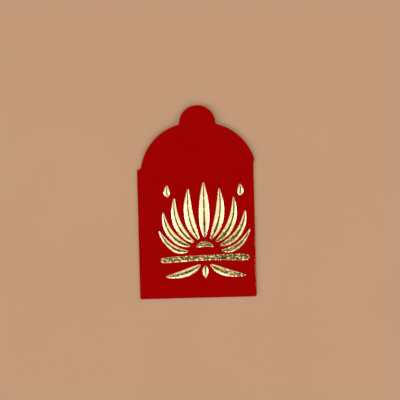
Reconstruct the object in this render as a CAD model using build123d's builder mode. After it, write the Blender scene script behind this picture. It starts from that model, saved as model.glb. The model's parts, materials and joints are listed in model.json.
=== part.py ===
from build123d import *
from math import sqrt
import os

# A small red gift envelope with its flap open, lying on its back.
#
# One die-cut sheet of red paper makes the whole envelope: the front panel, a closing flap above
# it, a glue tab at each side and the back panel below. The tabs fold in, the back panel folds up
# over them and is glued to them, and the flap hinges on the scored crease along the mouth. A
# lotus in raised gold foil is stamped on the front.
#
# X runs across the envelope, Y from the bottom fold towards the open flap, Z out of the front.
# The origin is the middle of the pocket's back face. Lengths are in millimetres.

os.makedirs("parts", exist_ok=True)

# Paper and glue
paper_thickness = 0.25
glue_thickness = 0.05

# Pocket, measured outside its folds
pocket_width = 60.0
pocket_height = 67.5
throat_drop = 5.0
throat_corner_radius = 3.0
back_side_inset = 0.4

# Side tabs, which the folds at the front panel's sides turn in behind it
side_fold_inner_radius = 0.10
side_tab_width = 9.0
side_tab_end_taper = 2.5
side_tab_setback = 1.0
fold_corner_relief = 0.05
glue_margin = 1.5

# Closing flap: round shoulders, a round thumb tab, and a slight shift off the pocket's middle
flap_height = 22.6
flap_top_flat = 5.7
flap_shift = 1.68
shoulder_drop = 1.0
thumb_tab_radius = 9.3
thumb_tab_sink = 0.4
thumb_tab_neck_radius = 0.8
flap_heel_height = 1.4
flap_heel_slant = 0.35
crease_gap = 0.05

# Foil lotus, placed by its margins to the pocket's edges
lotus_left_margin = 10.6
lotus_right_margin = 2.6
lotus_top_margin = 7.95
lotus_bottom_margin = 10.15
foil_rim_height = 0.06
foil_pitch_share = 0.22

# Levels of the folded layers, from the back face up
back_top = paper_thickness
glue_top = back_top + glue_thickness
tab_top = glue_top + paper_thickness
front_bottom = tab_top + 2 * side_fold_inner_radius
front_top = front_bottom + paper_thickness

# Fold lines and edges that the panels share
side_fold_radius = side_fold_inner_radius + paper_thickness
bottom_fold_radius = front_top / 2
crease_y = pocket_height / 2
bottom_line_y = bottom_fold_radius - pocket_height / 2
side_line_x = pocket_width / 2 - side_fold_radius
back_half_width = pocket_width / 2 - back_side_inset
throat_y = crease_y - throat_drop
left_fold_top_y = crease_y - shoulder_drop
right_fold_top_y = crease_y - crease_gap
side_fold_bottom_y = bottom_line_y + fold_corner_relief

# The flap's corner arcs may be struck from below the crease, which narrows its foot
flap_half_width = pocket_width / 2
flap_corner_radius = flap_half_width - flap_top_flat / 2
corner_drop = max(0, flap_corner_radius - flap_height)
flap_foot_half_width = flap_top_flat / 2 + sqrt(flap_corner_radius**2 - corner_drop**2)
flap_foot_left_x = flap_shift - flap_foot_half_width
flap_foot_right_x = pocket_width / 2

# The hinge line lies midway between the front panel's inside and the back face, so that the
# folded flap lies flat against the back
crease_radius = (front_bottom - crease_gap) / 2
crease_axis_z = crease_radius


def save(builder, name):
    """Label a finished piece and write it under its own name."""
    builder.part.label = name
    export_step(builder.part, f"parts/{name}.step")


# Front panel, with its upper left corner cut down to the side fold
with BuildPart() as front_panel:
    with BuildSketch(Plane.XY.offset(front_bottom)):
        with BuildLine():
            Polyline(
                (-side_line_x, bottom_line_y),
                (side_line_x, bottom_line_y),
                (side_line_x, crease_y),
                (flap_foot_left_x, crease_y),
                (-side_line_x, left_fold_top_y),
                close=True,
            )
        make_face()
    extrude(amount=paper_thickness)
save(front_panel, "front_panel")

# Back panel, with rounded corners at the throat
with BuildPart() as back_panel:
    with BuildSketch():
        with Locations((0, bottom_line_y)):
            Rectangle(2 * back_half_width, throat_y - bottom_line_y, align=(Align.CENTER, Align.MIN))
    extrude(amount=paper_thickness)
    throat_corners = back_panel.edges().filter_by(Axis.Z).group_by(Axis.Y)[-1]
    fillet(throat_corners, throat_corner_radius)
save(back_panel, "back_panel")

# Bottom fold, a half round of paper that carries the front panel round into the back panel
with BuildPart() as bottom_fold:
    with BuildSketch(Plane.YZ):
        with Locations((bottom_line_y, bottom_fold_radius)):
            Circle(bottom_fold_radius)
            Circle(bottom_fold_radius - paper_thickness, mode=Mode.SUBTRACT)
            Rectangle(
                2 * bottom_fold_radius,
                2 * bottom_fold_radius,
                align=(Align.MIN, Align.CENTER),
                mode=Mode.SUBTRACT,
            )
    extrude(amount=back_half_width, both=True)
save(bottom_fold, "bottom_fold")


def side_fold(name, side, top_y):
    """Half round of paper that turns a side tab in behind the front panel; side is -1 or 1."""
    inner_half = Align.MAX if side > 0 else Align.MIN
    fold_z = front_bottom - side_fold_inner_radius
    with BuildPart() as fold:
        with BuildSketch(Plane.XZ.offset(-side_fold_bottom_y)):
            with Locations((side * side_line_x, fold_z)):
                Circle(side_fold_radius)
                Circle(side_fold_inner_radius, mode=Mode.SUBTRACT)
                Rectangle(
                    2 * side_fold_radius,
                    2 * side_fold_radius,
                    align=(inner_half, Align.CENTER),
                    mode=Mode.SUBTRACT,
                )
        extrude(amount=side_fold_bottom_y - top_y)
    save(fold, name)


def side_tab(name, side, top_y):
    """Flat glue tab behind the front panel, with tapered ends, set back from the mouth."""
    inner_x = side_line_x - side_tab_width
    tab_end_y = top_y - side_tab_setback
    with BuildPart() as tab:
        with BuildSketch(Plane.XY.offset(glue_top)):
            with BuildLine():
                Polyline(
                    (side * side_line_x, side_fold_bottom_y),
                    (side * side_line_x, tab_end_y),
                    (side * inner_x, tab_end_y - side_tab_end_taper),
                    (side * inner_x, side_fold_bottom_y + side_tab_end_taper),
                    close=True,
                )
            make_face()
        extrude(amount=paper_thickness)
    save(tab, name)


def glue_strip(name, side):
    """Film of glue between a side tab and the back panel, inside the edges of both."""
    strip_bottom_y = side_fold_bottom_y + side_tab_end_taper + glue_margin
    strip_top_y = throat_y - throat_corner_radius - glue_margin
    strip_middle = (side * (side_line_x - side_tab_width / 2), (strip_bottom_y + strip_top_y) / 2)
    with BuildPart() as strip:
        with BuildSketch(Plane.XY.offset(back_top)):
            with Locations(strip_middle):
                Rectangle(side_tab_width - 2 * glue_margin, strip_top_y - strip_bottom_y)
        extrude(amount=glue_thickness)
    save(strip, name)


for side_name, side, fold_top_y in (("left", -1, left_fold_top_y), ("right", 1, right_fold_top_y)):
    side_fold(f"{side_name}_fold", side, fold_top_y)
    side_tab(f"{side_name}_side_tab", side, fold_top_y)
    glue_strip(f"{side_name}_glue_strip", side)

# Flap crease: the scored line's bead, which the flap turns on, joined to the front panel's inside
with BuildPart() as flap_crease:
    crease_length = side_line_x - flap_foot_left_x - 2 * crease_radius
    with BuildSketch(Plane.YZ.offset(flap_foot_left_x + crease_radius)):
        with Locations((crease_y, crease_axis_z)):
            Circle(crease_radius)
            Rectangle(
                crease_radius,
                front_bottom - crease_axis_z,
                align=(Align.MAX, Align.MIN),
            )
    extrude(amount=crease_length)
save(flap_crease, "flap_crease")

# Closing flap: a round-cornered blank and a thumb tab, cut off along the crease, with the heel
# at its right end trimmed back to the pocket's edge by a steep slanting cut
with BuildPart() as closing_flap:
    flap_foot_y = crease_y + crease_gap
    flap_top_y = crease_y + flap_height
    heel_y = crease_y + flap_heel_height
    heel_cut_y = heel_y + (pocket_width - flap_foot_right_x) / flap_heel_slant
    blank_height = flap_height + 2 * flap_corner_radius
    with BuildSketch(Plane.XY.offset(front_bottom)) as flap_outline:
        with Locations((flap_shift, flap_top_y)):
            RectangleRounded(
                2 * flap_half_width,
                blank_height,
                flap_corner_radius,
                align=(Align.CENTER, Align.MAX),
            )
        with Locations(Location((flap_shift, flap_top_y - thumb_tab_sink), (0, 0, -90))):
            Circle(thumb_tab_radius)
        neck_corners = flap_outline.vertices().sort_by(Axis.Y)[-2:]
        fillet(neck_corners, thumb_tab_neck_radius)
        with Locations((flap_shift, flap_foot_y)):
            Rectangle(
                2 * pocket_width,
                blank_height,
                align=(Align.CENTER, Align.MAX),
                mode=Mode.SUBTRACT,
            )
        with BuildLine():
            Polyline(
                (flap_foot_right_x, crease_y),
                (flap_foot_right_x, heel_y),
                (pocket_width, heel_cut_y),
                (pocket_width, crease_y),
                close=True,
            )
        make_face(mode=Mode.SUBTRACT)
    extrude(amount=paper_thickness)
save(closing_flap, "closing_flap")

# Foil lotus. Places are shares of its width and height, counted from its middle.
lotus_width = pocket_width - lotus_left_margin - lotus_right_margin
lotus_height = pocket_height - lotus_top_margin - lotus_bottom_margin
lotus_middle_x = (lotus_left_margin - lotus_right_margin) / 2
lotus_middle_y = (lotus_bottom_margin - lotus_top_margin) / 2

# Along a stroke: where its sections stand and how wide each is
station_shares = (0, 0.12, 0.3, 0.5, 0.7, 0.88, 1)
petal_width_shares = (0.22, 0.62, 0.96, 1, 0.84, 0.5, 0.12)
brush_width_shares = (0.62, 0.9, 0.84, 0.8, 0.86, 1, 0.66)

# Strokes on the middle line: start, bend, end, width and the widths along it
middle_stroke_shares = {
    "centre_petal": ((0, -0.073), (0, 0.182), (0, 0.5), 0.111, petal_width_shares),
    "lotus_heart": ((-0.094, -0.176), (0, -0.113), (0.094, -0.176), 0.056, petal_width_shares),
    "water_line": ((-0.489, -0.308), (0, -0.273), (0.489, -0.294), 0.068, brush_width_shares),
    "root_drop": ((0, -0.368), (0, -0.433), (0, -0.5), 0.06, petal_width_shares),
}

# Strokes that stand in pairs, given on the right
paired_stroke_shares = {
    "inner_petal": ((0.064, -0.093), (0.212, 0.101), (0.169, 0.433), 0.1, petal_width_shares),
    "middle_petal": ((0.12, -0.121), (0.359, 0.012), (0.325, 0.34), 0.088, petal_width_shares),
    "outer_petal": ((0.162, -0.162), (0.427, -0.097), (0.449, 0.194), 0.079, petal_width_shares),
    "low_petal": ((0.184, -0.215), (0.38, -0.235), (0.498, 0), 0.062, petal_width_shares),
    "leaf": ((0.056, -0.36), (0.179, -0.462), (0.44, -0.478), 0.077, petal_width_shares),
    "bud": ((0.393, 0.352), (0.415, 0.405), (0.397, 0.474), 0.064, petal_width_shares),
}


def on_front(place):
    """The point of the front panel's face at a place given in shares of the lotus."""
    return Vector(
        lotus_middle_x + place.X * lotus_width,
        lotus_middle_y + place.Y * lotus_height,
        front_top,
    )


def foil_stroke(name, start_share, bend_share, end_share, width_share, width_shares):
    """Ridged foil stroke, lofted through house-shaped sections along a curved spine.

    Every section has the same pitch, so the ridge is highest where the stroke is widest.
    """
    start, bend, end = Vector(start_share), Vector(bend_share), Vector(end_share)
    with BuildPart() as stroke:
        for along, width in zip(station_shares, width_shares):
            back = 1 - along
            middle = start * back**2 + bend * (2 * along * back) + end * along**2
            heading = (bend - start) * back + (end - bend) * along
            reach = Vector(-heading.Y, heading.X).normalized() * (width_share * width / 2)
            left, right = on_front(middle + reach), on_front(middle - reach)
            across = right - left
            half = across.length / 2
            facing = across.cross(Vector(0, 0, 1))
            with BuildSketch(Plane((left + right) / 2, x_dir=across, z_dir=facing)):
                with BuildLine():
                    Polyline(
                        (-half, 0),
                        (half, 0),
                        (half, foil_rim_height),
                        (0, foil_rim_height + half * foil_pitch_share),
                        (-half, foil_rim_height),
                        close=True,
                    )
                make_face()
        loft()
    save(stroke, name)


for stroke_name, stroke_shares in middle_stroke_shares.items():
    foil_stroke(f"foil_{stroke_name}", *stroke_shares)

for stroke_name, (start, bend, end, *widths) in paired_stroke_shares.items():
    for side_name, side in (("left", -1), ("right", 1)):
        spine = [(side * x, y) for x, y in (start, bend, end)]
        foil_stroke(f"foil_{side_name}_{stroke_name}", *spine, *widths)
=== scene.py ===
import json

import bpy
import numpy as np
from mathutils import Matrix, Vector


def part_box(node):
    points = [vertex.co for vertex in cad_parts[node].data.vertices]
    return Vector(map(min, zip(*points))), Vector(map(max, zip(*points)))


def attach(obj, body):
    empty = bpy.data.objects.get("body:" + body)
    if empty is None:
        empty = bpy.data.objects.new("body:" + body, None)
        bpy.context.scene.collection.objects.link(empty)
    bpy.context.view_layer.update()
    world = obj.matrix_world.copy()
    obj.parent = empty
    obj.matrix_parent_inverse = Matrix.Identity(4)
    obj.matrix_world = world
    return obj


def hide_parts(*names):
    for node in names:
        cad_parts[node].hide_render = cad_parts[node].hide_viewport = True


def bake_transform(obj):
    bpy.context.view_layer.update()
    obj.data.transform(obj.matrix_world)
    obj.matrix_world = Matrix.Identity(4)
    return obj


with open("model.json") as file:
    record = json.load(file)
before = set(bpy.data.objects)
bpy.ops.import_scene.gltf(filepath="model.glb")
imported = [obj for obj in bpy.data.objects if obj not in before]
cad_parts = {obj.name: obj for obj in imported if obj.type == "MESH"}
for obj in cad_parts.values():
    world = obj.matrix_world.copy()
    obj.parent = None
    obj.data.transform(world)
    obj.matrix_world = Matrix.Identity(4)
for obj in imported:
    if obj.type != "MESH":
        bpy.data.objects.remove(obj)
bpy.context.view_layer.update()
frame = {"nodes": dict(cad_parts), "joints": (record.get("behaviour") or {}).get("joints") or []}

# Front sheet. The front panel and the closing flap are one stretch of a die-cut sheet of paper,
# printed red outside and left bare inside. It is scored along the mouth of the pocket, where the
# flap folds back, and the cut at the flap's foot missed the side folds by a millimetre or two.
mm = 0.001
panel_low, panel_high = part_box("front_panel")
flap_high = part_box("closing_flap")[1]
paper = panel_high.z - panel_low.z
face_z = panel_high.z
crease_y = frame["joints"][0]["pos_m"][1]
shoulder_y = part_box("left_fold")[1].y
pocket_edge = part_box("right_fold")[1].x

flap_axis = 1.68 * mm
flap_top_flat = 5.7 * mm
flap_corner_radius = 27.15 * mm
thumb_tab_radius = 9.3 * mm
thumb_tab_sink = 0.4 * mm
thumb_tab_end = np.radians(88.5)
neck_radius = 0.8 * mm
heel_height = 1.4 * mm
heel_slant = 0.35
crease_reach = 1.1 * mm
crease_gap = 0.05 * mm

pocket_rows = 60
crease_rows = 15
flap_corner_rows = 56
neck_rows = 10
thumb_tab_rows = 40
sheet_columns = 73

tab_middle = np.array([0, flap_high.y - thumb_tab_radius])
corner_middle = np.array([flap_top_flat / 2, tab_middle[1] + thumb_tab_sink - flap_corner_radius])


def arc(middle, radius, start, end, count):
    """Points round a circle, evenly spaced in angle from start to end, in radians."""
    angle = np.linspace(start, end, count)
    return middle + radius * np.stack([np.cos(angle), np.sin(angle)], axis=1)


def bearing(start, end):
    """The angle of the way from one point to another, from 0 to a full turn."""
    way = end - start
    return np.arctan2(way[1], way[0]) % (2 * np.pi)


def flap_side():
    """Points up one side of the flap from its axis: corner arc, hollow arc of the neck, tab arc.

    The hollow arc touches both others, so its middle stands one hollow radius outside each: it is
    found along the line of their middles by the cosine rule, then square to that line.
    """
    reach_corner = flap_corner_radius + neck_radius
    reach_tab = thumb_tab_radius + neck_radius
    way = tab_middle - corner_middle
    apart = np.hypot(*way)
    along = (apart**2 + reach_corner**2 - reach_tab**2) / (2 * apart)
    aside = np.sqrt(reach_corner**2 - along**2)
    neck_middle = corner_middle + (along * way + aside * np.array([way[1], -way[0]])) / apart
    corner_start = np.arcsin((crease_y + crease_reach - corner_middle[1]) / flap_corner_radius)
    corner_end = bearing(corner_middle, neck_middle)
    neck_start = bearing(neck_middle, corner_middle)
    neck_end = bearing(neck_middle, tab_middle)
    tab_start = bearing(tab_middle, neck_middle)
    corner = arc(corner_middle, flap_corner_radius, corner_start, corner_end, flap_corner_rows)
    neck = arc(neck_middle, neck_radius, neck_start, neck_end, neck_rows)
    tab = arc(tab_middle, thumb_tab_radius, tab_start, thumb_tab_end, thumb_tab_rows)
    return np.concatenate([corner, neck[1:-1], tab])


def sheet_rows():
    """Heights, left edges and right edges of the front sheet's rows, from the bottom fold to the tip.

    Rows crowd together at the crease, where the sheet bends when the flap folds.
    """
    low = np.linspace(panel_low.y, crease_y - crease_reach, pocket_rows)
    near = np.linspace(crease_y - crease_reach, crease_y, crease_rows)
    pocket_y = np.concatenate([low, near[1:-1], [crease_y - crease_gap]])
    foot_y = np.linspace(crease_y, crease_y + crease_reach, crease_rows)[:-1]
    foot_half = flap_top_flat / 2 + np.sqrt(flap_corner_radius**2 - (foot_y - corner_middle[1]) ** 2)
    side = flap_side()
    flap_y = np.concatenate([foot_y, side[:, 1]])
    half = np.concatenate([foot_half, side[:, 0]])
    flap_left = flap_axis - half
    shoulder = [panel_low.y, shoulder_y, crease_y]
    pocket_left = np.interp(pocket_y, shoulder, [panel_low.x, panel_low.x, flap_left[0]])
    pocket_right = np.full(len(pocket_y), panel_high.x)
    heel_line = pocket_edge + heel_slant * np.clip(flap_y - crease_y - heel_height, 0, None)
    flap_right = np.minimum(flap_axis + half, heel_line)
    y = np.concatenate([pocket_y, flap_y])
    return y, np.concatenate([pocket_left, flap_left]), np.concatenate([pocket_right, flap_right])


pocket_swell = 0.35 * mm
flap_lift = 1.4 * mm
flap_twist = 1.0 * mm
score_depth = 0.045 * mm
score_width = 0.4 * mm


def paper_lift(x, y):
    """How far the front sheet stands off flat.

    The pocket's front swells like a shallow pillow, one parabola across times one along. The flap
    springs up from the crease and levels off at its tip, as half a parabola, and twists up to the
    left by the way up times the way across. The score is a bell-shaped groove along the crease.
    """
    across = x / panel_high.x
    along = (y - (panel_low.y + crease_y) / 2) / ((crease_y - panel_low.y) / 2)
    pillow = pocket_swell * np.clip(1 - across**2, 0, 1) * np.clip(1 - along**2, 0, 1)
    rise = np.clip((y - crease_y) / (flap_high.y - crease_y), 0, 1)
    twist = flap_twist * rise * (flap_axis - x) / panel_high.x
    spring = flap_lift * rise * (2 - rise) + twist
    return pillow + spring - score_depth * np.exp(-(((y - crease_y) / score_width) ** 2))


sharp_angle = np.radians(40)


def quads(a, b, c, d):
    """Four-sided faces from four equal arrays of corner numbers."""
    return np.stack([a, b, c, d], axis=-1).reshape(-1, 4)


def grid_faces(number):
    """Faces between the neighbouring points of a grid of point numbers."""
    return quads(number[:-1, :-1], number[:-1, 1:], number[1:, 1:], number[1:, :-1])


def new_piece(name, points, faces, materials, face_material=0):
    """A mesh object at the origin, smooth but for its sharp edges, with a material for each face."""
    mesh = bpy.data.meshes.new(name)
    mesh.from_pydata(points.reshape(-1, 3).tolist(), [], faces)
    for material in materials:
        mesh.materials.append(material)
    material_index = np.broadcast_to(face_material, len(faces)).astype(np.int32)
    mesh.polygons.foreach_set("material_index", material_index)
    mesh.polygons.foreach_set("use_smooth", np.ones(len(faces), bool))
    mesh.set_sharp_from_angle(angle=sharp_angle)
    piece = bpy.data.objects.new(name, mesh)
    bpy.context.scene.collection.objects.link(piece)
    return piece


def mark_points(piece, name, values):
    """Keeps one number for each point of a piece, for its material to read."""
    attribute = piece.data.attributes.new(name, "FLOAT", "POINT")
    attribute.data.foreach_set("value", values.astype(np.float32).ravel())


def paper_piece(name, printed, bare, wear):
    """A closed piece of paper between two grids of points.

    Its faces are the printed grid, the bare grid turned the other way, and a wall of cut edge from
    one to the other along each border. All are turned round if the printed grid faces inwards.
    """
    rows, columns = printed.shape[:2]
    front = np.arange(rows * columns).reshape(rows, columns)
    back = front + rows * columns
    printed_faces = grid_faces(front)
    bare_faces = quads(back[:-1, :-1], back[1:, :-1], back[1:, 1:], back[:-1, 1:])
    walls = np.concatenate([
        quads(front[0, 1:], front[0, :-1], back[0, :-1], back[0, 1:]),
        quads(front[-1, :-1], front[-1, 1:], back[-1, 1:], back[-1, :-1]),
        quads(front[:-1, 0], front[1:, 0], back[1:, 0], back[:-1, 0]),
        quads(front[1:, -1], front[:-1, -1], back[:-1, -1], back[1:, -1]),
    ])
    faces = np.concatenate([printed_faces, bare_faces, walls])
    across = printed[:-1, 1:] - printed[:-1, :-1]
    along = printed[1:, :-1] - printed[:-1, :-1]
    facing = np.sum(np.cross(across, along) * (printed - bare)[:-1, :-1])
    if facing < 0:
        faces = faces[:, ::-1]
    counts = [len(printed_faces), len(bare_faces), len(walls)]
    face_material = np.repeat(np.arange(len(counts)), counts)
    piece = new_piece(name, np.stack([printed, bare]), faces.tolist(), paper_finishes, face_material)
    mark_points(piece, "wear", np.stack([wear, wear]))
    return piece


class Wire:
    """A value in a node tree. Arithmetic on it adds Math nodes."""

    def __init__(self, nodes, socket):
        self.nodes = nodes
        self.socket = socket

    def math(self, operation, first, second):
        """Adds one Math node."""
        return self.nodes.node("ShaderNodeMath", {"operation": operation}, {0: first, 1: second})

    def __add__(self, other):
        return self.math("ADD", self, other)

    def __radd__(self, other):
        return self.math("ADD", other, self)

    def __sub__(self, other):
        return self.math("SUBTRACT", self, other)

    def __rsub__(self, other):
        return self.math("SUBTRACT", other, self)

    def __mul__(self, other):
        return self.math("MULTIPLY", self, other)

    def __rmul__(self, other):
        return self.math("MULTIPLY", other, self)


class Nodes:
    """A node tree, to which one method adds any node."""

    def __init__(self, tree):
        self.tree = tree

    def fill(self, made, sockets):
        """Links or sets each named socket of a node."""
        for name, value in sockets.items():
            if isinstance(value, Wire):
                self.tree.links.new(value.socket, made.inputs[name])
            else:
                made.inputs[name].default_value = value

    def node(self, kind, settings, sockets, output=0):
        """Adds a node: its settings first, then its sockets. Returns the wire of one output."""
        made = self.tree.nodes.new(kind)
        for name, value in settings.items():
            setattr(made, name, value)
        self.fill(made, sockets)
        return Wire(self, made.outputs[output])

    def fade(self, value, low, high, start=0, end=1):
        """From start where the value is low to end where it is high, smooth between."""
        return self.node(
            "ShaderNodeMapRange",
            {"interpolation_type": "SMOOTHSTEP"},
            {"Value": value, "From Min": low, "From Max": high, "To Min": start, "To Max": end},
        )

    def mix(self, share, first, second):
        """Colour between two colours."""
        sockets = {"Factor": share, "A": first, "B": second}
        return self.node("ShaderNodeMix", {"data_type": "RGBA"}, sockets, "Result")


class Finish(Nodes):
    """A material with one Principled shader."""

    def __init__(self, name):
        self.material = bpy.data.materials.new(name)
        self.material.use_nodes = True
        super().__init__(self.material.node_tree)
        self.place = self.node("ShaderNodeTexCoord", {}, {}, "Object")

    def noise(self, size, detail=2):
        """Cloudy noise from 0 to 1 with grains about one size across."""
        sockets = {"Vector": self.place, "Scale": 1 / size, "Detail": detail}
        return self.node("ShaderNodeTexNoise", {}, sockets, "Fac")

    def bump(self, height, depth):
        """Surface normal of a height from 0 to 1, that many metres deep."""
        return self.node("ShaderNodeBump", {}, {"Height": height, "Distance": depth}, "Normal")

    def attribute(self, name):
        """A number kept on the piece's points."""
        return self.node("ShaderNodeAttribute", {"attribute_name": name}, {}, "Fac")

    def shade(self, sockets):
        """Sets the shader's own sockets and returns the material."""
        self.fill(self.tree.nodes["Principled BSDF"], sockets)
        return self.material


printed_red = (0.357, 0.0003, 0.0006, 1)
deep_red = (0.271, 0.0002, 0.0004, 1)
bare_white = (0.80, 0.765, 0.70, 1)
bare_shade = (0.70, 0.66, 0.595, 1)
core_pink = (0.74, 0.53, 0.47, 1)
fibre = 0.28 * mm
cloud = 7 * mm


def printed_paper():
    """Matt red print on paper: faint clouds and fibre in the ink, worn to the white core in specks."""
    worn_patch = 11 * mm
    speck = 0.5 * mm
    relief = 0.04 * mm
    cloud_share = 0.25
    fibre_share = 0.7
    patch_wear = 0.25
    even_wear = 0.10
    speck_depth = 0.5
    smooth = 0.56
    rougher = 0.16
    finish = Finish("printed_red_paper")
    clouds = finish.fade(finish.noise(cloud, detail=3), low=0.35, high=0.65)
    fibres = finish.noise(fibre, detail=4)
    streaks = finish.fade(fibres, low=0.3, high=0.7)
    ink = finish.mix(clouds * cloud_share + streaks * fibre_share, printed_red, deep_red)
    patches = finish.fade(finish.noise(worn_patch), low=0.42, high=0.66)
    wear = finish.attribute("wear") * (patches * patch_wear + even_wear)
    specks = finish.fade(finish.noise(speck, detail=3) + wear, low=0.84, high=0.93)
    return finish.shade({
        "Base Color": finish.mix(specks, ink, core_pink),
        "Roughness": smooth + fibres * rougher,
        "Specular IOR Level": 0.01,
        "Normal": finish.bump(fibres - specks * speck_depth, relief),
    })


def bare_paper():
    """The unprinted side: warm white stock with visible fibre."""
    relief = 0.016 * mm
    cloud_share = 0.5
    fibre_share = 0.4
    smooth = 0.74
    rougher = 0.18
    finish = Finish("bare_white_paper")
    fibres = finish.noise(fibre, detail=5)
    clouds = finish.fade(finish.noise(cloud, detail=3), low=0.3, high=0.7)
    return finish.shade({
        "Base Color": finish.mix(clouds * cloud_share + fibres * fibre_share, bare_white, bare_shade),
        "Roughness": smooth + fibres * rougher,
        "Specular IOR Level": 0.2,
        "Normal": finish.bump(fibres, relief),
    })


def cut_paper():
    """The cut edge: pale core stained by the ink beside it."""
    cut_fibre = 0.12 * mm
    ink_stain = 1.6 * mm
    relief = 0.02 * mm
    stain_share = 0.65
    fibre_share = 0.25
    finish = Finish("cut_paper_edge")
    fibres = finish.noise(cut_fibre, detail=3)
    stain = finish.fade(finish.noise(ink_stain), low=0.4, high=0.62)
    return finish.shade({
        "Base Color": finish.mix(stain * stain_share + fibres * fibre_share, core_pink, printed_red),
        "Roughness": 0.86,
        "Specular IOR Level": 0.15,
        "Normal": finish.bump(fibres, relief),
    })


paper_finishes = [printed_paper(), bare_paper(), cut_paper()]
wear_width = 0.35 * mm

sheet_y, sheet_left, sheet_right = sheet_rows()
sheet_across = np.linspace(0, 1, sheet_columns)
sheet_x = sheet_left[:, None] + (sheet_right - sheet_left)[:, None] * sheet_across
sheet_y = np.broadcast_to(sheet_y[:, None], sheet_x.shape)
sheet_front = np.stack([sheet_x, sheet_y, face_z + paper_lift(sheet_x, sheet_y)], axis=-1)
sheet_wear = np.exp((sheet_x - panel_high.x) / wear_width) * (sheet_y < crease_y)

front_sheet = paper_piece("front_sheet", sheet_front, sheet_front - [0, 0, paper], sheet_wear)
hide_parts("front_panel", "closing_flap")
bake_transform(front_sheet)

# Side strips. At each side the sheet turns round a tight fold and runs in behind the front panel
# as a glue tab with tapered ends. The right fold is the more worn one.
fold_inner = 0.10 * mm
tab_taper = 2.5 * mm
setback_power = 4
side_fold_columns = 17
side_tab_columns = 18
strip_rows = 70


def side_strip(side_name, side, wear):
    """A fold and its tab: a half circle joined to a straight run, carried along the pocket's height.

    Towards the tab the ends of the rows draw in, by the tab's setback round the fold and by its
    taper along the run.
    """
    fold_low, fold_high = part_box(f"{side_name}_fold")
    tab_low, tab_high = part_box(f"{side_name}_side_tab")
    angle = np.radians(np.linspace(90, -90, side_fold_columns))
    run = np.linspace(0, tab_high.x - tab_low.x, side_tab_columns + 1)[1:]
    outward = np.concatenate([np.cos(angle), np.zeros_like(run)])
    upward = np.concatenate([np.sin(angle), -np.ones_like(run)])
    inward = np.concatenate([np.zeros_like(angle), run])
    turned = np.concatenate([np.linspace(0, 1, len(angle)), np.ones_like(run)])
    taper = tab_taper * inward / run[-1]
    low_y = fold_low.y + taper
    high_y = fold_high.y - (fold_high.y - tab_high.y) * turned**setback_power - taper
    y = low_y + (high_y - low_y) * np.linspace(0, 1, strip_rows)[:, None]

    def face(radius):
        """The strip's face at one radius of the fold."""
        x = side * (panel_high.x + radius * outward - inward)
        z = panel_low.z - fold_inner + radius * upward
        return np.stack([np.broadcast_to(x, y.shape), y, np.broadcast_to(z, y.shape)], axis=-1)

    worn = np.broadcast_to(wear * np.sqrt(outward), y.shape)
    strip = paper_piece(f"{side_name}_side_strip", face(fold_inner + paper), face(fold_inner), worn)
    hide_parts(f"{side_name}_fold", f"{side_name}_side_tab")
    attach(strip, "pocket")


side_strip("left", side=-1, wear=0.6)
side_strip("right", side=1, wear=1.0)

# Back sheet. Below the front panel the sheet turns up round the bottom fold and becomes the back
# panel, glued over the tabs, with rounded corners at the throat.
back_low, back_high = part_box("back_panel")
bottom_low, bottom_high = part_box("bottom_fold")
throat_radius = 3.0 * mm
bottom_wear = 0.7
bottom_fold_rows = 25
straight_rows = 55
throat_rows = 15
back_columns = 61


def back_sheet():
    """A half circle joined to a straight run up the back, carried across the pocket.

    The rows' half width is constant up to the throat's corners, then follows their arcs.
    """
    outer = (bottom_high.z - bottom_low.z) / 2
    angle = np.radians(np.linspace(90, 270, bottom_fold_rows))
    straight = np.linspace(back_low.y, back_high.y - throat_radius, straight_rows + 1)[1:]
    corner = arc(np.zeros(2), throat_radius, 0, np.pi / 2, throat_rows + 1)[1:]
    straight_half = np.full(len(angle) + len(straight), back_high.x)
    half = np.concatenate([straight_half, back_high.x - throat_radius + corner[:, 0]])
    run = np.concatenate([straight, back_high.y - throat_radius + corner[:, 1]])
    turn_y = np.concatenate([np.cos(angle), np.zeros_like(run)])[:, None]
    turn_z = np.concatenate([np.sin(angle), -np.ones_like(run)])[:, None]
    base_y = np.concatenate([np.full_like(angle, back_low.y), run])[:, None]
    x = half[:, None] * np.linspace(-1, 1, back_columns)

    def face(radius):
        """The sheet's face at one radius of the fold."""
        y = np.broadcast_to(base_y + radius * turn_y, x.shape)
        z = np.broadcast_to(outer + radius * turn_z, x.shape)
        return np.stack([x, y, z], axis=-1)

    worn = np.broadcast_to(bottom_wear * np.sqrt(np.clip(-turn_y, 0, 1)), x.shape)
    sheet = paper_piece("back_sheet", face(outer), face(outer - paper), worn)
    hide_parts("back_panel", "bottom_fold")
    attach(sheet, "pocket")


back_sheet()

# Crease bead and glue. The scoring rule pushes up a bead of bare paper along the inside of the
# crease, and two strips of dried glue hold the back panel to the tabs.
glue_clear = (0.78, 0.72, 0.56, 1)
glue_milky = (0.86, 0.83, 0.74, 1)


def dried_glue():
    """Dried paper glue: yellowish film with milky patches and a soft gloss."""
    milky_patch = 2.5 * mm
    relief = 0.02 * mm
    smooth = 0.3
    rougher = 0.25
    finish = Finish("dried_glue")
    patches = finish.fade(finish.noise(milky_patch, detail=3), low=0.4, high=0.62)
    return finish.shade({
        "Base Color": finish.mix(patches, glue_clear, glue_milky),
        "Roughness": smooth + patches * rougher,
        "Normal": finish.bump(patches, relief),
    })


def dress(node, material):
    """Gives a CAD node that keeps its own shape a finished material."""
    materials = frame["nodes"][node].data.materials
    materials.clear()
    materials.append(material)


glue_finish = dried_glue()
dress("flap_crease", paper_finishes[1])
dress("left_glue_strip", glue_finish)
dress("right_glue_strip", glue_finish)

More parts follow.
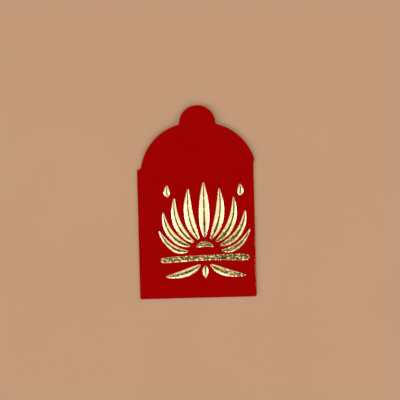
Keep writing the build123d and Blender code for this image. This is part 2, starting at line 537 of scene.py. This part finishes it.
# Foil lotus. A hot die pressed gold foil onto the front and raised it into chiselled strokes: two
# facets that meet in a ridge, with the paper's grain left where the die bit less. Painted shade and
# dark reflection: a dark brown is mixed into the foil's colour along the ridge's crest and in the
# pits.
petal_low, petal_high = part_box("foil_centre_petal")
drop_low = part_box("foil_root_drop")[0]
water_low, water_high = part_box("foil_water_line")
water_line_share = 0.978
lotus_size = np.array([(water_high.x - water_low.x) / water_line_share, petal_high.y - drop_low.y])
lotus_middle = np.array([petal_low.x + petal_high.x, petal_high.y + drop_low.y]) / 2

gold = (0.99, 0.80, 0.44, 1)
gold_pale = (0.97, 0.87, 0.60, 1)
# Dark brown painted on the foil as shade and dark reflection, in the pits and along the crests.
gold_painted_shade = (0.145, 0.084, 0.016, 1)


def stamped_foil():
    """Gold foil: mirror-like where the die pressed hard, pitted where the paper's texture is left.

    Painted shade and dark reflection darken it along the ridges' crests and in the pits.
    """
    grain_size = 1.1 * mm
    ripple_size = 2.6 * mm
    relief = 0.17 * mm
    pit_painted_shade = 0.95
    crest_painted_shade = 0.58
    pit_depth = 1.8
    grain_depth = 0.2
    ripple_depth = 0.2
    smooth = 0.11
    ripple_rougher = 0.08
    pits_rougher = 0.04
    finish = Finish("stamped_gold_foil")
    coarse = finish.attribute("coarse")
    crest = finish.attribute("crest")
    grain = finish.noise(grain_size, detail=1)
    ripple = finish.noise(ripple_size)
    pits = finish.fade(grain, low=0.42, high=0.50) * coarse
    tone = finish.mix(finish.fade(ripple, low=0.35, high=0.65), gold, gold_pale)
    # Painted shade and dark reflection: how much dark brown goes in the pits and on the crest.
    painted_shade = pits * pit_painted_shade + crest * crest_painted_shade * (1 - pits)
    height = grain * (coarse * pit_depth + grain_depth) + ripple * ripple_depth
    return finish.shade({
        "Base Color": finish.mix(painted_shade, tone, gold_painted_shade),
        "Metallic": 1.0,
        "Roughness": smooth + ripple * ripple_rougher + coarse * pits_rougher,
        "Normal": finish.bump(height, relief),
    })


foil_finish = stamped_foil()

foil_rim = 0.10 * mm
foil_sink = 0.04 * mm
foil_pitch = 0.22
bevel_pitch = 0.5
bevel_round = 0.02 * mm
crest_half = 0.23 * mm
crest_round = 0.08 * mm
crest_limit_share = 0.9
flat_share = 0.76
narrow_share = 0.25
skirt_share = 0.985
ridge_wander_share = 0.34
ridge_wave = 0.8 * mm
ragged_depth = 0.13 * mm
ragged_wave = 0.21 * mm

stroke_rows = 96
stroke_columns = 57
crest_columns_share = 0.4
end_angle = 0.02
row_shares = (1 - np.cos(np.linspace(end_angle, np.pi - end_angle, stroke_rows))) / 2
column_steps = np.linspace(-1, 1, stroke_columns)

station_shares = (0, 0.12, 0.3, 0.5, 0.7, 0.88, 1)
petal = (0.22, 0.62, 0.96, 1, 0.84, 0.5, 0.12)
brush = (0.62, 0.9, 0.84, 0.8, 0.86, 1, 0.66)


def on_front(place):
    """Points of the flat front at places given in shares of the lotus from its middle."""
    return lotus_middle + place * lotus_size


def wander(way, wave, phase):
    """An uneven line between -1 and 1: two sines of the way whose lengths share no beat."""
    long_share = 0.6
    pace = 1.73
    lead = 2.1
    long = np.sin(way / wave + phase)
    short = np.sin(pace * way / wave + lead * phase)
    return long_share * long + (1 - long_share) * short


def stroke_lines(start, bend, end, width, width_shares):
    """Spine and rims of a stroke: a parabola from start to end, drawn towards bend.

    The half width is a polynomial through the station shares, rounded off to nothing at both ends.
    """
    back = 1 - row_shares
    start, bend, end = np.array([start, bend, end])
    spine = np.outer(back**2, start) + np.outer(2 * row_shares * back, bend)
    spine = spine + np.outer(row_shares**2, end)
    heading = np.outer(back, bend - start) + np.outer(row_shares, end - bend)
    square = np.stack([-heading[:, 1], heading[:, 0]], axis=1) / np.hypot(*heading.T)[:, None]
    degree = len(station_shares) - 1
    profile = np.polyval(np.polyfit(station_shares, width_shares, degree), row_shares)
    from_end = np.minimum(row_shares, back) * np.hypot(*(end - start)) / (width / 2)
    blunt = np.where(row_shares < back, width_shares[0], width_shares[-1])
    rounding = np.sqrt(1 - (1 - np.clip(from_end / blunt, 0, 1)) ** 2)
    reach = square * (width / 2 * profile * rounding)[:, None]
    return on_front(spine), on_front(spine + reach), on_front(spine - reach)


def half_width(left, right):
    """Half the way from the left rim to the right one, as a column."""
    return np.hypot(*(right - left).T)[:, None] / 2


def stroke_section(half, crest):
    """Ways aside from the spine and heights across a stroke of such half widths.

    A flat crest, rounded at its edges, falls away at a constant pitch to a steeper bevel along the
    rim. Two fifths of the columns are for the crest.
    """
    crest_zone = np.minimum(crest + 2 * crest_round, crest_limit_share * half)
    step = np.abs(column_steps)
    near = np.minimum(step / crest_columns_share, 1) * crest_zone
    far_step = (step - crest_columns_share) / (1 - crest_columns_share)
    far = np.clip(far_step, 0, 1) * (half - crest_zone)
    aside = near + far
    beyond = (aside + crest + np.hypot(aside - crest, crest_round)) / 2
    facet = foil_rim + foil_pitch * np.clip(half - beyond, 0, None)
    bevel = bevel_pitch * (half - aside)
    return aside, (facet + bevel - np.hypot(facet - bevel, bevel_round)) / 2


def foil_stroke(node, start, bend, end, width, width_shares, coarse):
    """A ridged stroke of foil with a skirt that goes down into the paper.

    coarse is how pitted the foil is at the start, the middle and the end: the more pitted it is,
    the wider is the flat crest and the more ragged the rim. The ridge's width wanders along the
    way.
    """
    start_phase = 40
    end_phase = 23
    rim_phase = 2
    spine, left, right = stroke_lines(start, bend, end, width, width_shares)
    pitted = np.interp(row_shares, np.linspace(0, 1, len(coarse)), coarse)[:, None]
    steps = np.diff(spine, axis=0, prepend=spine[:1])
    way = np.cumsum(np.hypot(*steps.T))[:, None]
    phase = start_phase * start[0] + end_phase * end[1]

    half = half_width(left, right)
    fray = pitted * np.minimum(ragged_depth, narrow_share * half) * (left - right) / (2 * half)
    left = left + fray * wander(way, ragged_wave, phase)
    right = right - fray * wander(way, ragged_wave, phase + rim_phase)
    half = half_width(left, right)
    uneven = 1 + ridge_wander_share * wander(way, ridge_wave, phase)
    ridge = np.minimum(crest_half * uneven, narrow_share * half)
    aside, height = stroke_section(half, ridge + flat_share * pitted * half)

    rim = np.ones_like(half)
    crosswise = np.sign(column_steps) * aside / half
    crosswise = np.concatenate([-rim, skirt_share * crosswise, rim], axis=1)
    height = np.concatenate([-foil_sink * rim, height, -foil_sink * rim], axis=1)
    place = (left + right)[:, None] / 2 + crosswise[..., None] * (right - left)[:, None] / 2
    x, y = place[..., 0], place[..., 1]
    rings = np.stack([x, y, face_z + paper_lift(x, y) + height], axis=-1)
    number = np.arange(x.size).reshape(x.shape)
    onward = np.roll(number, -1, axis=1)
    sides = quads(number[:-1], onward[:-1], onward[1:], number[1:]).tolist()
    faces = sides + [number[0, ::-1].tolist(), number[-1].tolist()]

    stroke = new_piece(node.removeprefix("foil_") + "_foil", rings, faces, [foil_finish])
    mark_points(stroke, "coarse", np.broadcast_to(pitted, x.shape))
    # The crest mark says where the foil's painted shade runs along the ridge.
    mark_points(stroke, "crest", np.pad((aside < ridge) * (1 - pitted), [(0, 0), (1, 1)]))
    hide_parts(node)
    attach(stroke, "pocket")


# Each stroke's start, bend and end in shares of the lotus, its width, its shape, and how pitted it is.
middle_strokes = {
    "centre_petal": ((0, -0.073), (0, 0.182), (0, 0.5), 0.111, petal, (0.3, 0.05, 0.1)),
    "lotus_heart": ((-0.094, -0.176), (0, -0.113), (0.094, -0.176), 0.056, petal, (0.5, 0.8, 0.5)),
    "water_line": ((-0.489, -0.308), (0, -0.273), (0.489, -0.294), 0.068, brush, (0.7, 0.9, 1.0)),
    "root_drop": ((0, -0.368), (0, -0.433), (0, -0.5), 0.06, petal, (0.3, 0.1, 0.2)),
}
paired_strokes = {
    "inner_petal": ((0.064, -0.093), (0.212, 0.101), (0.169, 0.433), 0.1, petal, (0.4, 0.05, 0.1)),
    "middle_petal": ((0.12, -0.121), (0.359, 0.012), (0.325, 0.34), 0.088, petal, (0.6, 0.1, 0.1)),
    "outer_petal": ((0.162, -0.162), (0.427, -0.097), (0.449, 0.194), 0.079, petal, (0.8, 0.2, 0.1)),
    "low_petal": ((0.184, -0.215), (0.38, -0.235), (0.498, 0), 0.062, petal, (0.9, 0.4, 0.2)),
    "leaf": ((0.056, -0.36), (0.179, -0.462), (0.44, -0.478), 0.077, petal, (0.2, 0.4, 1.0)),
    "bud": ((0.393, 0.352), (0.415, 0.405), (0.397, 0.474), 0.064, petal, (0.2, 0.1, 0.2)),
}
# The die bit deeper on the left, so a stroke there is that much less pitted than its twin.
left_pits = 0.55
right_pits = 1.0

for stroke_name, stroke in middle_strokes.items():
    foil_stroke(f"foil_{stroke_name}", *stroke)

for stroke_name, (start, bend, end, width, width_shares, coarse) in paired_strokes.items():
    for side_name, side, pits in (("left", -1, left_pits), ("right", 1, right_pits)):
        spine = [(side * x, y) for x, y in (start, bend, end)]
        pitted = [pits * share for share in coarse]
        foil_stroke(f"foil_{side_name}_{stroke_name}", *spine, width, width_shares, pitted)

# Studio. A plain pale table, soft panels at the envelope's foot and sides, warm plain walls, and a
# bright ring overhead with a dark amber middle. There the camera looks straight down.
table_gap = 0.05 * mm
table_reach = 100.0
table_lines = 25
table_cloud = 60 * mm
table_tan = (0.498, 0.314, 0.213, 1)
table_tan_light = (0.521, 0.334, 0.230, 1)


def table_top():
    """Plain pale table, matt, with a breath of unevenness."""
    finish = Finish("table_top")
    return finish.shade({
        "Base Color": finish.mix(finish.noise(table_cloud), table_tan, table_tan_light),
        "Roughness": 0.8,
        "Specular IOR Level": 0.1,
    })


def table_sheet():
    """A level square grid whose lines stand at the cubes of even steps, so that its middle is fine."""
    step = table_reach * np.linspace(-1, 1, table_lines) ** 3
    x, y = np.meshgrid(step, step)
    faces = grid_faces(np.arange(x.size).reshape(x.shape)).tolist()
    points = np.stack([x, y, np.full_like(x, -table_gap)], axis=-1)
    return new_piece("table", points, faces, [table_top()])


table_sheet()


def soft_panel(name, place, width, height, radiance):
    """A soft light that faces the envelope. Its power is its radiance times pi times its area."""
    light = bpy.data.lights.new(name, "AREA")
    light.shape = "RECTANGLE"
    light.size = width
    light.size_y = height
    light.energy = radiance * np.pi * width * height
    panel = bpy.data.objects.new(name, light)
    panel.location = place
    panel.rotation_mode = "QUATERNION"
    panel.rotation_quaternion = panel.location.to_track_quat("Z", "Y")
    bpy.context.scene.collection.objects.link(panel)


soft_panel("foot_panel", place=(-1.0, -6.6, 5.0), width=6.0, height=4.0, radiance=1.8)
soft_panel("left_panel", place=(-7.0, -1.5, 3.8), width=4.0, height=3.0, radiance=4.5)
soft_panel("right_panel", place=(6.5, -0.5, 4.2), width=3.0, height=3.0, radiance=2.8)

# Each rise is a stretch of the surround, by the sine of the height above the horizon.
horizon_tan = (0.555, 0.345, 0.220, 1)
wall_warm = (0.42, 0.34, 0.225, 1)
ring_white = (0.345, 0.352, 0.350, 1)
overhead_amber = (0.62, 0.50, 0.10, 1)
wall_rise = (0, 0.4)
white_rise = (0.6, 0.84)
amber_rise = (0.92, 0.965)
ring_rise = (0.5, 0.84)
ring_gain = 3.3
middle_rise = (0.93, 0.98)
middle_gain = 0.04
world = bpy.data.worlds.new("surround")
world.use_nodes = True
bpy.context.scene.world = world
surround = Nodes(world.node_tree)
direction = surround.node("ShaderNodeTexCoord", {}, {}, "Generated")
upward = surround.node("ShaderNodeSeparateXYZ", {}, {"Vector": direction}, "Z")
wall = surround.mix(surround.fade(upward, *wall_rise), horizon_tan, wall_warm)
lit = surround.mix(surround.fade(upward, *white_rise), wall, ring_white)
shade = surround.mix(surround.fade(upward, *amber_rise), lit, overhead_amber)
ring = surround.fade(upward, *ring_rise, start=1, end=ring_gain)
middle = surround.fade(upward, *middle_rise, start=1, end=middle_gain)
surround.fill(world.node_tree.nodes["Background"], {"Color": shade, "Strength": ring * middle})

view_middle = (2.07 * mm, 16.63 * mm)
view_width = 205.8 * mm
view_tilt = np.radians(1.5)
lens = bpy.data.cameras.new("camera")
lens.lens = 50
lens.sensor_width = 36
camera = bpy.data.objects.new("camera", lens)
camera.location = (*view_middle, face_z + view_width * lens.lens / lens.sensor_width)
camera.rotation_euler = (0, 0, -view_tilt)
bpy.context.scene.collection.objects.link(camera)
bpy.context.scene.camera = camera
bpy.context.scene.view_settings.view_transform = "Standard"
